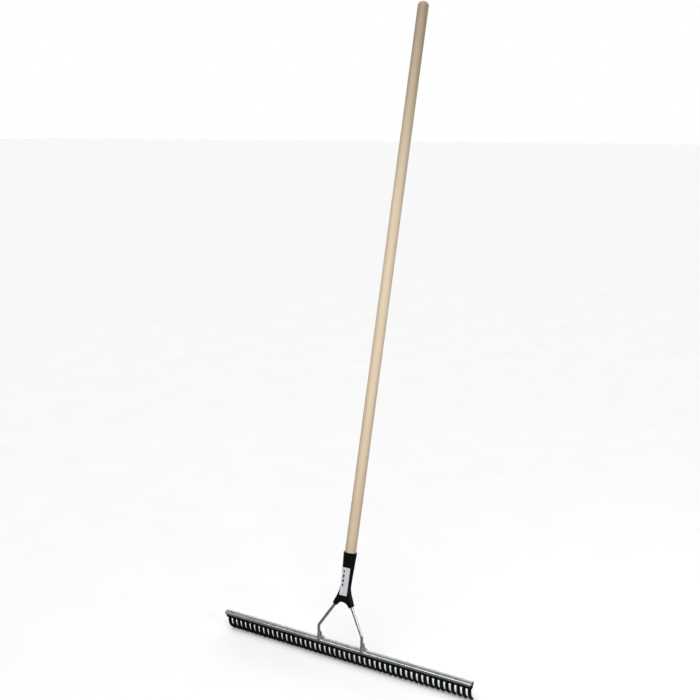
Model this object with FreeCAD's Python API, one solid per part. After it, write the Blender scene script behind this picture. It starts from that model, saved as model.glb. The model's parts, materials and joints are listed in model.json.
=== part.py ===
"""Wide levelling rake: a wooden handle in a forked plastic socket, two bent steel rods,
and a rolled sheet-steel spine that holds two plastic combs end to end.

Row frame, in millimetres: +X runs along the head, +Y points to the user, +Z is up.
The rake stands on its tine tips. The origin is on the ground, under the middle of the head.
"""
import FreeCAD, Part
import math
import os

Vector = FreeCAD.Vector
X_AXIS = Vector(1, 0, 0)
Z_AXIS = Vector(0, 0, 1)

# Handle and the plane that it leans in
HANDLE_DIAMETER = 28.0
HANDLE_LENGTH = 1500.0
HANDLE_DOME = 10.0           # rounding of the free end
HANDLE_LEAN = 17.4           # degrees from vertical, towards the user
HANDLE_INSERT = 107.8        # length of handle inside the socket
SPIGOT_DIAMETER = 20.4       # of its turned-down end, below the shoulder's cone
SPIGOT_END_DIAMETER = 17.0   # at the very end, deep in the socket

# Fork: distances along the handle's axis are counted from the two rods' bends
ROD_DIAMETER = 7.2
ROD_SPREAD = 120.0           # between the two rods' feet
ROD_Y = -5.8
ROD_BEND_Z = 101.7
ROD_BEND_RADIUS = 13.0
ROD_SOCKET_X = 22.5          # where a rod leaves its arm
ROD_SOCKET_S = 64.0
ROD_INSERT = 25.0
WELD_LEG = 2.2
WELD_RISE = 0.4              # of the weld's middle above the hood

# Socket: a round collar and neck with a flat front, and the fork's two arms below
SOCKET_TOP_S = 197.8
COLLAR_RADIUS = 16.9
COLLAR_CHAMFER = 0.9
FLARE_S = 125.0              # the neck starts to widen towards the collar
FLARE_POWER = 1.15
NECK_BOTTOM_S = 87.0
NECK_RADIUS = 13.6
FLAT_FRONT = 11.4            # from the handle's axis to the socket's flat front
FLAT_TOP_S = 166.0
PAD_HALF = 10.6              # of the raised flat that carries the label
PAD_BACK = 8.0
PAD_BOTTOM_S = 118.0
HIP_S = 98.0
HIP_HALF = 13.8
WAIST_S = 82.0
WAIST_HALF = 20.0
BACK_BEND_S = 80.0
BACK_BEND_DEPTH = 8.6
ARM_BOTTOM_S = 56.0
ARM_FRONT = 5.8
ARM_BACK = 5.0
ARM_END_HALF = 5.7
ARCH_S = 73.6                # top of the round arch between the arms
SOCKET_EDGE = 1.0

LABEL_WIDTH = 20.4
LABEL_BOTTOM_S = 91.0
LABEL_TOP_S = 160.0
LABEL_THICK = 0.25

SCREW_S = 153.0
SCREW_SUNK = 0.2
SCREW_RADIUS = 2.2
SCREW_HEAD_RADIUS = 4.2
SCREW_LENGTH = 22.0

# Spine: a hood of rolled sheet
SPINE_LENGTH = 688.0
SHEET = 1.5
HOOD_RADIUS = 12.0           # outside radius of its rounded back
HOOD_CENTRE_Z = 50.3
HOOD_SLOPE = 7.8             # degrees, fall of the top towards the front lip
LIP_Y = -9.5                 # outside of the front lip
LIP_BOTTOM = 54.5
BACK_BOTTOM = 49.0
CREASE_RADIUS = 1.8
SPINE_CORNER = 4.5           # rounding of the lip's two lower corners
END_HOLE_RADIUS = 2.3
END_HOLE_INSET = 18.0
END_HOLE_Y = -3.0

# Combs
TINE_PITCH = 14.0
TINE_WIDTH = 7.2
TINE_THICK = 5.0
TINE_EDGE = 1.1
TINE_Y = -0.5
TINE_ARC = 42.0              # radius of a tine's middle line
TINE_SWEEP = 60.0            # degrees
LEFT_TINES = 25
RIGHT_TINES = 24
COMB_SHIFT = 2.0             # middle of the row of tines, from the middle of the spine
COMB_GAP = 0.3
BAR_FRONT = -7.9
BAR_BACK = 4.0
BAR_BOTTOM = 46.4
BAR_TOP = 59.0
BAR_EDGE = 1.4
LUG_WIDTH = 16.0
LUG_BOTTOM = 50.0
LUG_TOP = 57.5
LUG_CLEARANCE = 0.15
LUG_FRACTIONS = (0.08, 0.5, 0.92)

# Rivets, set square to the hood's rounded back
RIVET_RADIUS = 1.6
RIVET_HEAD_RADIUS = 3.4
RIVET_HEAD_HEIGHT = 1.5
COMB_RIVET_ANGLE = 60.0      # degrees from vertical
COMB_RIVET_DEPTH = 6.0

# Saddles: a strap over the hood and an upright tongue behind each rod
SADDLE_WIDTH = 18.0
SADDLE_FOOT_WIDTH = 14.4     # of the tongue, where it meets the strap
SADDLE_TOP_WIDTH = 8.0
SADDLE_SHEET = 2.2
SADDLE_HEIGHT = 21.0
SADDLE_WRAP = 52.0           # degrees of hood that the strap covers
SADDLE_RIVET_ANGLE = 34.0
SADDLE_RIVET_X = 5.2
SADDLE_RIVET_DEPTH = 1.9
SADDLE_SHOULDER = 5.0        # height at its foot's width before the tongue narrows
SADDLE_SEAT_DEPTH = 1.0


def rounded_path(start, corner, end, radius):
    """Two straight runs joined by a tangent arc."""
    to_start = (start - corner).normalize()
    to_end = (end - corner).normalize()
    half_turn = to_start.getAngle(to_end) / 2
    tangent = radius / math.tan(half_turn)
    middle_way = (to_start + to_end).normalize()
    arc_start = corner + to_start * tangent
    arc_end = corner + to_end * tangent
    arc_middle = corner + middle_way * (radius / math.sin(half_turn) - radius)
    return Part.Wire([
        Part.LineSegment(start, arc_start).toShape(),
        Part.Arc(arc_start, arc_middle, arc_end).toShape(),
        Part.LineSegment(arc_end, end).toShape(),
    ])


def closed_face(edges):
    return Part.Face(Part.Wire([edge.toShape() for edge in edges]))


def polygon(points):
    return Part.Face(Part.makePolygon(points + [points[0]]))


def revolved(profile):
    """Solid of revolution about local Z from (radius, height) corners."""
    points = [Vector(radius, 0, height) for radius, height in profile]
    return polygon(points).revolve(Vector(), Z_AXIS, 360)


def lean(shape):
    """Move a shape from the fork's own frame, with Z along the handle, into the row frame."""
    turn = FreeCAD.Rotation(X_AXIS, -HANDLE_LEAN)
    shape.transformShape(FreeCAD.Placement(Vector(0, ROD_Y, ROD_BEND_Z), turn).toMatrix())
    return shape


def fork_point(x, s):
    turn = FreeCAD.Rotation(X_AXIS, -HANDLE_LEAN)
    return Vector(0, ROD_Y, ROD_BEND_Z) + turn.multVec(Vector(x, 0, s))


def rod_inner_end():
    """The rod's end inside its arm, as (x, s)."""
    run_x = ROD_SPREAD / 2 - ROD_SOCKET_X
    reach = math.hypot(run_x, ROD_SOCKET_S)
    return (ROD_SOCKET_X - ROD_INSERT * run_x / reach,
            ROD_SOCKET_S + ROD_INSERT * ROD_SOCKET_S / reach)


def tapered_core():
    """The turned-down end of the handle, which also shapes the socket's bore."""
    bottom = SOCKET_TOP_S - HANDLE_INSERT
    return revolved([(0, bottom), (SPIGOT_END_DIAMETER / 2, bottom),
                     (SPIGOT_DIAMETER / 2, FLAT_TOP_S), (HANDLE_DIAMETER / 2, SOCKET_TOP_S),
                     (0, SOCKET_TOP_S)])


def screw_solid():
    """Countersunk screw driven from the socket's back, along local -Y."""
    head_depth = SCREW_HEAD_RADIUS - SCREW_RADIUS
    profile = [(0, 0), (SCREW_HEAD_RADIUS, 0), (SCREW_RADIUS, head_depth),
               (SCREW_RADIUS, SCREW_LENGTH - SCREW_RADIUS), (0, SCREW_LENGTH)]
    screw = revolved(profile)
    screw.rotate(Vector(), X_AXIS, 90)
    screw.translate(Vector(0, neck_radius_at(SCREW_S) - SCREW_SUNK, SCREW_S))
    return screw


def neck_radius_at(s):
    """Outside radius of the socket's round neck."""
    flare = max(0.0, (s - FLARE_S) / (SOCKET_TOP_S - FLARE_S))
    return NECK_RADIUS + (COLLAR_RADIUS - NECK_RADIUS) * flare ** FLARE_POWER


def make_handle():
    rod_length = HANDLE_LENGTH - HANDLE_INSERT
    grip = Part.makeCylinder(HANDLE_DIAMETER / 2, rod_length, Vector(0, 0, SOCKET_TOP_S))
    top = SOCKET_TOP_S + rod_length
    rim = [edge for edge in grip.Edges if edge.Closed and edge.BoundBox.ZMin > top - 1]
    grip = grip.makeFillet(HANDLE_DOME, rim)
    handle = grip.fuse(tapered_core()).removeSplitter()
    return lean(handle.cut(screw_solid()))


def make_neck():
    """Round neck under the collar, flattened at the front for the label."""
    flare = SOCKET_TOP_S - FLARE_S
    stations = [NECK_BOTTOM_S, FLARE_S, FLARE_S + flare / 3, SOCKET_TOP_S - flare / 3, SOCKET_TOP_S]
    rings = [Part.Wire(Part.makeCircle(neck_radius_at(s), Vector(0, 0, s))) for s in stations]
    neck = Part.makeLoft(rings, True)
    wide = 2 * COLLAR_RADIUS
    flat = Part.makeBox(2 * wide, wide, FLAT_TOP_S, Vector(-wide, -FLAT_FRONT - wide, 0))
    return neck.cut(flat)


def arm_outline(side):
    """Corner points of one half of the Y, in the plane of the fork, as (x, s)."""
    run_x = ROD_SPREAD / 2 - ROD_SOCKET_X
    reach = math.hypot(run_x, ROD_SOCKET_S)
    across = (ARM_END_HALF * ROD_SOCKET_S / reach, ARM_END_HALF * run_x / reach)
    outer = (ROD_SOCKET_X + across[0], ROD_SOCKET_S + across[1])
    inner = (ROD_SOCKET_X - across[0], ROD_SOCKET_S - across[1])
    return [Vector(side * x, 0, s) for x, s in (outer, inner)]


def mirrored(x, s):
    return Vector(-x, 0, s), Vector(x, 0, s)


def make_fork_body():
    """The label's pad and the Y below it: the front outline crossed with the side outline."""
    left_outer, left_inner = arm_outline(-1)
    right_outer, right_inner = arm_outline(1)
    left_top, right_top = mirrored(PAD_HALF, FLAT_TOP_S)
    left_neck, right_neck = mirrored(PAD_HALF, PAD_BOTTOM_S)
    left_hip, right_hip = mirrored(HIP_HALF, HIP_S)
    left_waist, right_waist = mirrored(WAIST_HALF, WAIST_S)
    outline = closed_face([
        Part.LineSegment(left_top, right_top),
        Part.LineSegment(right_top, right_neck),
        Part.Arc(right_neck, right_hip, right_waist),
        Part.LineSegment(right_waist, right_outer),
        Part.LineSegment(right_outer, right_inner),
        Part.Arc(right_inner, Vector(0, 0, ARCH_S), left_inner),
        Part.LineSegment(left_inner, left_outer),
        Part.LineSegment(left_outer, left_waist),
        Part.Arc(left_waist, left_hip, left_neck),
        Part.LineSegment(left_neck, left_top),
    ])
    depth = 2 * COLLAR_RADIUS
    outline.translate(Vector(0, -depth, 0))
    front_view = outline.extrude(Vector(0, 2 * depth, 0))
    half = 3 * COLLAR_RADIUS
    side_outline = polygon([
        Vector(-half, -FLAT_FRONT, FLAT_TOP_S), Vector(-half, -FLAT_FRONT, NECK_BOTTOM_S),
        Vector(-half, -ARM_FRONT, ARM_BOTTOM_S), Vector(-half, ARM_BACK, ARM_BOTTOM_S),
        Vector(-half, BACK_BEND_DEPTH, BACK_BEND_S), Vector(-half, PAD_BACK, PAD_BOTTOM_S),
        Vector(-half, PAD_BACK, FLAT_TOP_S),
    ])
    body = front_view.common(side_outline.extrude(Vector(2 * half, 0, 0)))
    long_edges = [edge for edge in body.Edges if is_outline_edge(edge)]
    return body.makeFillet(SOCKET_EDGE, long_edges)


def is_outline_edge(edge):
    """True for the edges along the front and back faces, which get rounded."""
    box = edge.BoundBox
    return box.ZMax < FLAT_TOP_S - 0.1 and box.XLength > 0.5 and not (box.YMin < 0 < box.YMax)


def rod_core(side):
    """The straight run of a rod that its arm is moulded round."""
    inner_x, inner_s = rod_inner_end()
    start = Vector(side * inner_x, 0, inner_s)
    mouth = Vector(side * ROD_SPREAD / 2, 0, 0)
    return Part.makeCylinder(ROD_DIAMETER / 2, (mouth - start).Length, start, mouth - start)


def make_socket():
    body = make_neck().fuse(make_fork_body()).removeSplitter()
    rim = [edge for edge in body.Edges if edge.BoundBox.ZMin > SOCKET_TOP_S - 0.1]
    body = body.makeChamfer(COLLAR_CHAMFER, rim)
    body = body.cut(tapered_core()).cut(screw_solid())
    for side in (-1, 1):
        body = body.cut(rod_core(side))
    return lean(body)


def make_screw():
    return lean(screw_solid())


def make_label():
    corner = Vector(-LABEL_WIDTH / 2, -FLAT_FRONT - LABEL_THICK, LABEL_BOTTOM_S)
    return lean(Part.makeBox(LABEL_WIDTH, LABEL_THICK, LABEL_TOP_S - LABEL_BOTTOM_S, corner))


def hood_points(inset):
    """Profile of the hood, from the front lip's edge to the back edge, inset from outside."""
    radius = HOOD_RADIUS - inset
    slope = math.radians(HOOD_SLOPE)
    front_y = LIP_Y + inset
    tangent = Vector(0, -radius * math.sin(slope), HOOD_CENTRE_Z + radius * math.cos(slope))
    crease = Vector(0, front_y, tangent.z - (tangent.y - front_y) * math.tan(slope))
    halfway = math.radians(40)
    return [Vector(0, front_y, LIP_BOTTOM), crease, tangent,
            Vector(0, radius * math.sin(halfway), HOOD_CENTRE_Z + radius * math.cos(halfway)),
            Vector(0, radius, HOOD_CENTRE_Z), Vector(0, radius, BACK_BOTTOM)]


def hood_edges(points):
    lip, crease, tangent, halfway, level, edge = points
    return [Part.LineSegment(lip, crease), Part.LineSegment(crease, tangent),
            Part.Arc(tangent, halfway, level), Part.LineSegment(level, edge)]


def filled_hood():
    """The hood with its inside filled, for trimming what stands on it."""
    points = hood_points(0)
    face = closed_face(hood_edges(points) + [Part.LineSegment(points[-1], points[0])])
    face.translate(Vector(-SPINE_LENGTH / 2, 0, 0))
    return face.extrude(Vector(SPINE_LENGTH, 0, 0))


def make_spine():
    outside = hood_points(0)
    inside = hood_points(SHEET)
    back_end = Part.LineSegment(outside[-1], inside[-1])
    front_end = Part.LineSegment(inside[0], outside[0])
    face = closed_face(hood_edges(outside) + [back_end] + hood_edges(inside)[::-1] + [front_end])
    face.translate(Vector(-SPINE_LENGTH / 2, 0, 0))
    spine = face.extrude(Vector(SPINE_LENGTH, 0, 0))
    crease = [edge for edge in spine.Edges if lies_on(edge, outside[1])]
    spine = spine.makeFillet(CREASE_RADIUS, crease)
    corners = [edge for edge in spine.Edges
               if edge.BoundBox.ZMax < LIP_BOTTOM + 0.1 and edge.BoundBox.XLength < 0.1
               and edge.BoundBox.YMax < LIP_Y + SHEET + 0.1]
    spine = spine.makeFillet(SPINE_CORNER, corners)
    hole_x = END_HOLE_INSET - SPINE_LENGTH / 2
    hole = Part.makeCylinder(END_HOLE_RADIUS, HOOD_RADIUS, Vector(hole_x, END_HOLE_Y, BAR_TOP))
    spine = spine.cut(hole)
    for x in comb_rivet_places():
        spine = spine.cut(rivet_shank(x, COMB_RIVET_ANGLE, COMB_RIVET_DEPTH, HOOD_RADIUS))
    for x in saddle_rivet_places():
        spine = spine.cut(rivet_shank(x, SADDLE_RIVET_ANGLE, SADDLE_RIVET_DEPTH, HOOD_RADIUS))
    return spine


def lies_on(edge, point):
    box = edge.BoundBox
    return (box.XLength > SPINE_LENGTH - 1 and abs(box.YMin - point.y) < 0.01
            and abs(box.ZMin - point.z) < 0.01)


def set_on_hood(shape, x, angle):
    """Turn a shape built along +Z from the hood's centre line to its angle from vertical."""
    shape.rotate(Vector(), X_AXIS, -angle)
    shape.translate(Vector(x, 0, HOOD_CENTRE_Z))
    return shape


def rivet_shank(x, angle, depth, seat):
    shank = Part.makeCylinder(RIVET_RADIUS, depth + 1, Vector(0, 0, seat - depth))
    return set_on_hood(shank, x, angle)


def rivet(x, angle, depth, seat):
    """Domed rivet: its head stands on radius seat, its shank goes depth below."""
    dome_radius = (RIVET_HEAD_RADIUS ** 2 + RIVET_HEAD_HEIGHT ** 2) / (2 * RIVET_HEAD_HEIGHT)
    dome = Part.makeSphere(dome_radius, Vector(0, 0, seat + RIVET_HEAD_HEIGHT - dome_radius))
    keep = Part.makeCylinder(2 * RIVET_HEAD_RADIUS, 2 * dome_radius, Vector(0, 0, seat))
    shank = Part.makeCylinder(RIVET_RADIUS, depth, Vector(0, 0, seat - depth))
    return set_on_hood(dome.common(keep).fuse(shank), x, angle)


def tine_x(number):
    middle = (LEFT_TINES + RIGHT_TINES - 1) / 2
    return (number - middle) * TINE_PITCH + COMB_SHIFT


def comb_span(numbers):
    """Where a comb's bar starts and ends along X."""
    return (tine_x(numbers[0]) - TINE_PITCH / 2 + COMB_GAP / 2,
            tine_x(numbers[-1]) + TINE_PITCH / 2 - COMB_GAP / 2)


def comb_rivet_places():
    places = []
    for numbers in (LEFT_COMB, RIGHT_COMB):
        start, end = comb_span(numbers)
        places += [start + fraction * (end - start) for fraction in LUG_FRACTIONS]
    return places


def saddle_rivet_places():
    return [side * ROD_SPREAD / 2 + offset
            for side in (-1, 1) for offset in (-SADDLE_RIVET_X, SADDLE_RIVET_X)]


def make_rod(side):
    inner_x, inner_s = rod_inner_end()
    foot = Vector(side * ROD_SPREAD / 2, ROD_Y, HOOD_CENTRE_Z + HOOD_RADIUS / 2)
    bend = Vector(side * ROD_SPREAD / 2, ROD_Y, ROD_BEND_Z)
    path = rounded_path(foot, bend, fork_point(side * inner_x, inner_s), ROD_BEND_RADIUS)
    section = Part.Wire(Part.makeCircle(ROD_DIAMETER / 2, foot, Z_AXIS))
    rod = path.makePipeShell([section], True, True)
    weld_z = HOOD_CENTRE_Z + HOOD_RADIUS + WELD_RISE - 2 * WELD_LEG
    weld = Part.makeCone(ROD_DIAMETER / 2 + 2 * WELD_LEG, ROD_DIAMETER / 2,
                         3 * WELD_LEG, Vector(foot.x, ROD_Y, weld_z))
    front = LIP_Y + SHEET / 2
    weld_zone = Part.makeBox(SADDLE_WIDTH, saddle_front() - front, HOOD_RADIUS,
                             Vector(foot.x - SADDLE_WIDTH / 2, front, foot.z))
    return rod.fuse(weld.common(weld_zone)).cut(filled_hood()).removeSplitter()


def saddle_front():
    return ROD_Y + ROD_DIAMETER / 2


def make_saddle(side):
    """Upright tongue behind the rod, running into a strap that follows the hood's back."""
    x = side * ROD_SPREAD / 2
    outer = HOOD_RADIUS + SADDLE_SHEET
    strap = Part.makeCylinder(outer, SADDLE_WIDTH, Vector(), X_AXIS)
    strap = strap.cut(Part.makeCylinder(HOOD_RADIUS, SADDLE_WIDTH, Vector(), X_AXIS))
    reach = 3 * HOOD_RADIUS
    wrap = math.radians(SADDLE_WRAP)
    front = saddle_front() + SADDLE_SHEET / 2
    wedge = polygon([Vector(0, front, 0), Vector(0, front, reach),
                     Vector(0, reach * math.sin(wrap), reach),
                     Vector(0, reach * math.sin(wrap), reach * math.cos(wrap)), Vector(0, 0, 0)])
    strap = strap.common(wedge.extrude(Vector(SADDLE_WIDTH, 0, 0)))
    strap.translate(Vector(x - SADDLE_WIDTH / 2, 0, HOOD_CENTRE_Z))
    base_z = HOOD_CENTRE_Z + HOOD_RADIUS - SADDLE_SEAT_DEPTH
    shoulder_z = base_z + SADDLE_SHOULDER
    top_z = HOOD_CENTRE_Z + HOOD_RADIUS + SADDLE_HEIGHT
    y = saddle_front()
    half, top_half = SADDLE_FOOT_WIDTH / 2, SADDLE_TOP_WIDTH / 2
    tongue = polygon([Vector(x - half, y, base_z), Vector(x + half, y, base_z),
                      Vector(x + half, y, shoulder_z), Vector(x + top_half, y, top_z),
                      Vector(x - top_half, y, top_z), Vector(x - half, y, shoulder_z)])
    tongue = tongue.extrude(Vector(0, SADDLE_SHEET, 0))
    saddle = tongue.fuse(strap).cut(filled_hood()).removeSplitter()
    for offset in (-SADDLE_RIVET_X, SADDLE_RIVET_X):
        shank = rivet_shank(x + offset, SADDLE_RIVET_ANGLE, SADDLE_RIVET_DEPTH + SADDLE_SHEET, outer)
        saddle = saddle.cut(shank)
    return saddle


def make_saddle_rivets():
    seat = HOOD_RADIUS + SADDLE_SHEET
    depth = SADDLE_RIVET_DEPTH + SADDLE_SHEET
    return Part.makeCompound([rivet(x, SADDLE_RIVET_ANGLE, depth, seat)
                              for x in saddle_rivet_places()])


def make_comb_rivets():
    return Part.makeCompound([rivet(x, COMB_RIVET_ANGLE, COMB_RIVET_DEPTH, HOOD_RADIUS)
                              for x in comb_rivet_places()])


def make_bar(numbers):
    """One comb's bar, with the lugs that take its rivets."""
    start, end = comb_span(numbers)
    bar = Part.makeBox(end - start, BAR_BACK - BAR_FRONT, BAR_TOP - BAR_BOTTOM,
                       Vector(start, BAR_FRONT, BAR_BOTTOM))
    rounded = [edge for edge in bar.Edges
               if edge.BoundBox.YMax < BAR_FRONT + 0.1 or edge.BoundBox.ZMax < BAR_BOTTOM + 0.1]
    bar = bar.makeFillet(BAR_EDGE, rounded)
    inside = HOOD_RADIUS - SHEET - LUG_CLEARANCE
    for fraction in LUG_FRACTIONS:
        left = start + fraction * (end - start) - LUG_WIDTH / 2
        block = Part.makeBox(LUG_WIDTH, HOOD_RADIUS, LUG_TOP - LUG_BOTTOM,
                             Vector(left, BAR_BACK - 1, LUG_BOTTOM))
        round_back = Part.makeCylinder(inside, LUG_WIDTH, Vector(left, 0, HOOD_CENTRE_Z), X_AXIS)
        bar = bar.fuse(block.common(round_back))
    bar = bar.removeSplitter()
    for x in comb_rivet_places():
        bar = bar.cut(rivet_shank(x, COMB_RIVET_ANGLE, COMB_RIVET_DEPTH, HOOD_RADIUS))
    return bar


def make_tine():
    """One tine at X = 0: straight at the bar, then an arc that ends in a round tip."""
    half = TINE_THICK / 2
    sweep = math.radians(TINE_SWEEP)
    centre_z = half + TINE_ARC * math.sin(sweep)
    centre_y = TINE_Y + TINE_ARC

    def on_arc(radius, angle):
        return Vector(-TINE_WIDTH / 2, centre_y - radius * math.cos(angle),
                      centre_z - radius * math.sin(angle))

    front, back = TINE_ARC + half, TINE_ARC - half
    to_bar = Z_AXIS * (BAR_BOTTOM - centre_z)
    round_tip = on_arc(math.hypot(TINE_ARC, half), sweep + math.atan(half / TINE_ARC))
    face = closed_face([
        Part.LineSegment(on_arc(back, 0) + to_bar, on_arc(front, 0) + to_bar),
        Part.LineSegment(on_arc(front, 0) + to_bar, on_arc(front, 0)),
        Part.Arc(on_arc(front, 0), on_arc(front, sweep / 2), on_arc(front, sweep)),
        Part.Arc(on_arc(front, sweep), round_tip, on_arc(back, sweep)),
        Part.Arc(on_arc(back, sweep), on_arc(back, sweep / 2), on_arc(back, 0)),
        Part.LineSegment(on_arc(back, 0), on_arc(back, 0) + to_bar),
    ])
    tine = face.extrude(Vector(TINE_WIDTH, 0, 0))
    outline = [edge for edge in tine.Edges
               if edge.BoundBox.XLength < 0.1 and edge.BoundBox.ZMin < BAR_BOTTOM - 0.1]
    return tine.makeFillet(TINE_EDGE, outline)


def make_tines(numbers):
    tine = make_tine()
    row = []
    for number in numbers:
        copy = tine.copy()
        copy.translate(Vector(tine_x(number), 0, 0))
        row.append(copy)
    return Part.makeCompound(row)


LEFT_COMB = list(range(LEFT_TINES))
RIGHT_COMB = list(range(LEFT_TINES, LEFT_TINES + RIGHT_TINES))

SUBPARTS = {
    "handle": make_handle(),
    "handle_socket": make_socket(),
    "handle_screw": make_screw(),
    "socket_label": make_label(),
    "rod_left": make_rod(-1),
    "rod_right": make_rod(1),
    "saddle_left": make_saddle(-1),
    "saddle_right": make_saddle(1),
    "saddle_rivets": make_saddle_rivets(),
    "spine": make_spine(),
    "comb_bar_left": make_bar(LEFT_COMB),
    "comb_bar_right": make_bar(RIGHT_COMB),
    "comb_tines_left": make_tines(LEFT_COMB),
    "comb_tines_right": make_tines(RIGHT_COMB),
    "comb_rivets": make_comb_rivets(),
}

os.makedirs("parts", exist_ok=True)
for name, shape in SUBPARTS.items():
    solids = shape.Solids
    if not shape.isValid() or not solids:
        raise RuntimeError(name + " is not a valid solid")
    shape.exportStep("parts/" + name + ".step")
    box = shape.BoundBox
    print("%-18s solids %2d  volume %9.1f mm3  x %.1f..%.1f  y %.1f..%.1f  z %.1f..%.1f" % (
        name, len(solids), shape.Volume, box.XMin, box.XMax, box.YMin, box.YMax,
        box.ZMin, box.ZMax))
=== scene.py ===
"""Looks of the wide levelling rake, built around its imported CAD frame.

Everything is in metres and in the CAD model's frame: +X along the head, +Y to the user, +Z up.
"""
import json
import math

import bmesh
import bpy
from mathutils import Matrix, Vector


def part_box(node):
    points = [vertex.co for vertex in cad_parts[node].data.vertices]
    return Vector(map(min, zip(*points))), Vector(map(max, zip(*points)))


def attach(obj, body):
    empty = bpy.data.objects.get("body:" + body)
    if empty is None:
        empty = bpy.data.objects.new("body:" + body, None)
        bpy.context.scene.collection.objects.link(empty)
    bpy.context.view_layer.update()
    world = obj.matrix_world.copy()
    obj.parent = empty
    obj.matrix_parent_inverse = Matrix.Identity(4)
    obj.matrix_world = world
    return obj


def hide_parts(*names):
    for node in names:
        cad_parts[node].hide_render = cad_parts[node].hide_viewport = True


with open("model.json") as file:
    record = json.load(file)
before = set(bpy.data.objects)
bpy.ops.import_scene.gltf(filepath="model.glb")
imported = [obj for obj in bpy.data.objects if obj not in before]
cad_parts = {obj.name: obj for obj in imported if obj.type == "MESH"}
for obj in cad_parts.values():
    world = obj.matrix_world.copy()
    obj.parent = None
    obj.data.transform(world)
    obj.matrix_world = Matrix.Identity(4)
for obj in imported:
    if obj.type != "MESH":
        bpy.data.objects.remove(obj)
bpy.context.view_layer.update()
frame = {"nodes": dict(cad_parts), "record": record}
BODY = "root"
MM = 0.001

# ------------------------------------------------------------- sizes, in metres and degrees
HANDLE_DOME = 10 * MM
SPIGOT_RADIUS = 10.2 * MM
SPIGOT_END_RADIUS = 8.5 * MM
SPIGOT_LENGTH = 107.8 * MM
SHOULDER_DEPTH = 31.8 * MM       # of the cone from the full handle down to its spigot

SOCKET_TOP_S = 197.8 * MM        # places along the handle, counted from the rods' bends
FLAT_FRONT = 11.4 * MM
LABEL_HALF_WIDTH = 10.2 * MM
LABEL_BOTTOM_S = 91 * MM
LABEL_TOP_S = 160 * MM
LABEL_THICK = 0.25 * MM
LABEL_CORNER = 1.2 * MM
INK_THICK = 0.03 * MM
LABEL_BARS = ((9.5, 5.0), (21.5, 8.5), (33.0, 7.0), (43.5, 6.0))   # mm below the top, mm long
LABEL_BAR_X = -4.6 * MM
LABEL_BAR_HALF_WIDTH = 2.2 * MM
LABEL_LINES = 7
LABEL_LINE_DEPTH = 7 * MM        # of the first line below the label's top
LABEL_LINE_X = 3.2 * MM
LABEL_LINE_PITCH = 6.4 * MM
LABEL_LINE_HALF_LENGTH = 2.6 * MM
SCREW_S = 153 * MM
SCREW_HEAD_RADIUS = 4.2 * MM
SCREW_RADIUS = 2.2 * MM
SCREW_LENGTH = 22 * MM

ROD_RADIUS = 3.6 * MM
ROD_BEND_RADIUS = 13 * MM
ROD_SOCKET_X = 22.5 * MM
ROD_SOCKET_S = 64 * MM
ROD_INSERT = 25 * MM
WELD_RADIUS = 1.45 * MM          # of the bead's own section
WELD_RIPPLES = 13

SHEET = 1.5 * MM
HOOD_RADIUS = 12 * MM
HOOD_SLOPE = 7.8                 # fall of the hood's front
LIP_BOTTOM = 54.5 * MM
LIP_CORNER = 4.5 * MM
CREASE_RADIUS = 1.8 * MM
END_HOLE_INSET = 18 * MM
END_HOLE_Y = -3 * MM
END_HOLE_RADIUS = 2.3 * MM
SOFT_EDGE = 0.25 * MM            # by which the sheet's end faces are softened

TINE_PITCH = 14 * MM
TINE_HALF_WIDTH = 3.85 * MM      # at the bar
TINE_TIP_HALF_WIDTH = 3.75 * MM
TINE_HALF_THICK = 2.9 * MM       # at the bar
TINE_TIP_HALF_THICK = 2.6 * MM
TINE_EDGE = 0.7 * MM
TINE_ARC = 42 * MM
TINE_SWEEP = 60                  # through which a tine's arc turns
TINE_Y = -0.5 * MM
ROOT_FILLET = 1.6 * MM
LEFT_TINES = 25
RIGHT_TINES = 24
BAR_BACK = 4 * MM
BAR_EDGE = 1.4 * MM
LUG_HALF = 8 * MM
LUG_BOTTOM = 50 * MM
LUG_TOP = 57.5 * MM
LUG_CLEARANCE = 0.15 * MM
LUG_FRACTIONS = (0.08, 0.5, 0.92)   # places along a bar

SADDLE_SHEET = 2.2 * MM
SADDLE_HALF = 9 * MM
SADDLE_WAIST_HALF = 7.2 * MM
SADDLE_TOP_HALF = 4 * MM
SADDLE_HEIGHT = 21 * MM
SADDLE_SHOULDER = 5 * MM         # height above the hood where the tongue starts to narrow
SADDLE_FLARE = 8 * MM            # length over which the strap gets wider
SADDLE_BEND_RADIUS = 3 * MM
SADDLE_WRAP = 52                 # of the hood's back that the strap covers
SADDLE_RIVET_ANGLE = 34
SADDLE_RIVET_X = 5.2 * MM
COMB_RIVET_ANGLE = 60
RIVET_HEAD_RADIUS = 3.4 * MM
RIVET_HEAD_HEIGHT = 1.5 * MM
RIVET_SHANK_RADIUS = 1.6 * MM
RIVET_DEPTH = 4 * MM


# ------------------------------------------------------------- places read from the frame
def low(node):
    """The low corner of a CAD node's box."""
    return Vector(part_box(node)[0])


def high(node):
    """The high corner of a CAD node's box."""
    return Vector(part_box(node)[1])


GRIP = next(mount for mount in frame["record"]["mounts"] if mount["name"] == "handle_grip")
GRIP_MIDDLE = Vector(GRIP["pos_m"])
AXIS = Vector(GRIP["axis"]).normalized()
LEAN = math.atan2(AXIS.y, AXIS.z)
HANDLE_RADIUS = GRIP["dims"]["r_mm"] * MM

SADDLE_FRONT = low("saddle_right").y
ROD_FOOT = Vector((high("saddle_right").x - SADDLE_HALF, SADDLE_FRONT - ROD_RADIUS, 0))
SPINE_HALF = high("spine").x
LIP_Y = low("spine").y
BACK_BOTTOM = low("spine").z
HOOD_CENTRE_Z = high("spine").z - HOOD_RADIUS
BAR_FRONT = low("comb_bar_left").y
BAR_BOTTOM = low("comb_bar_left").z
BAR_TOP = high("comb_bar_left").z

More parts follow.
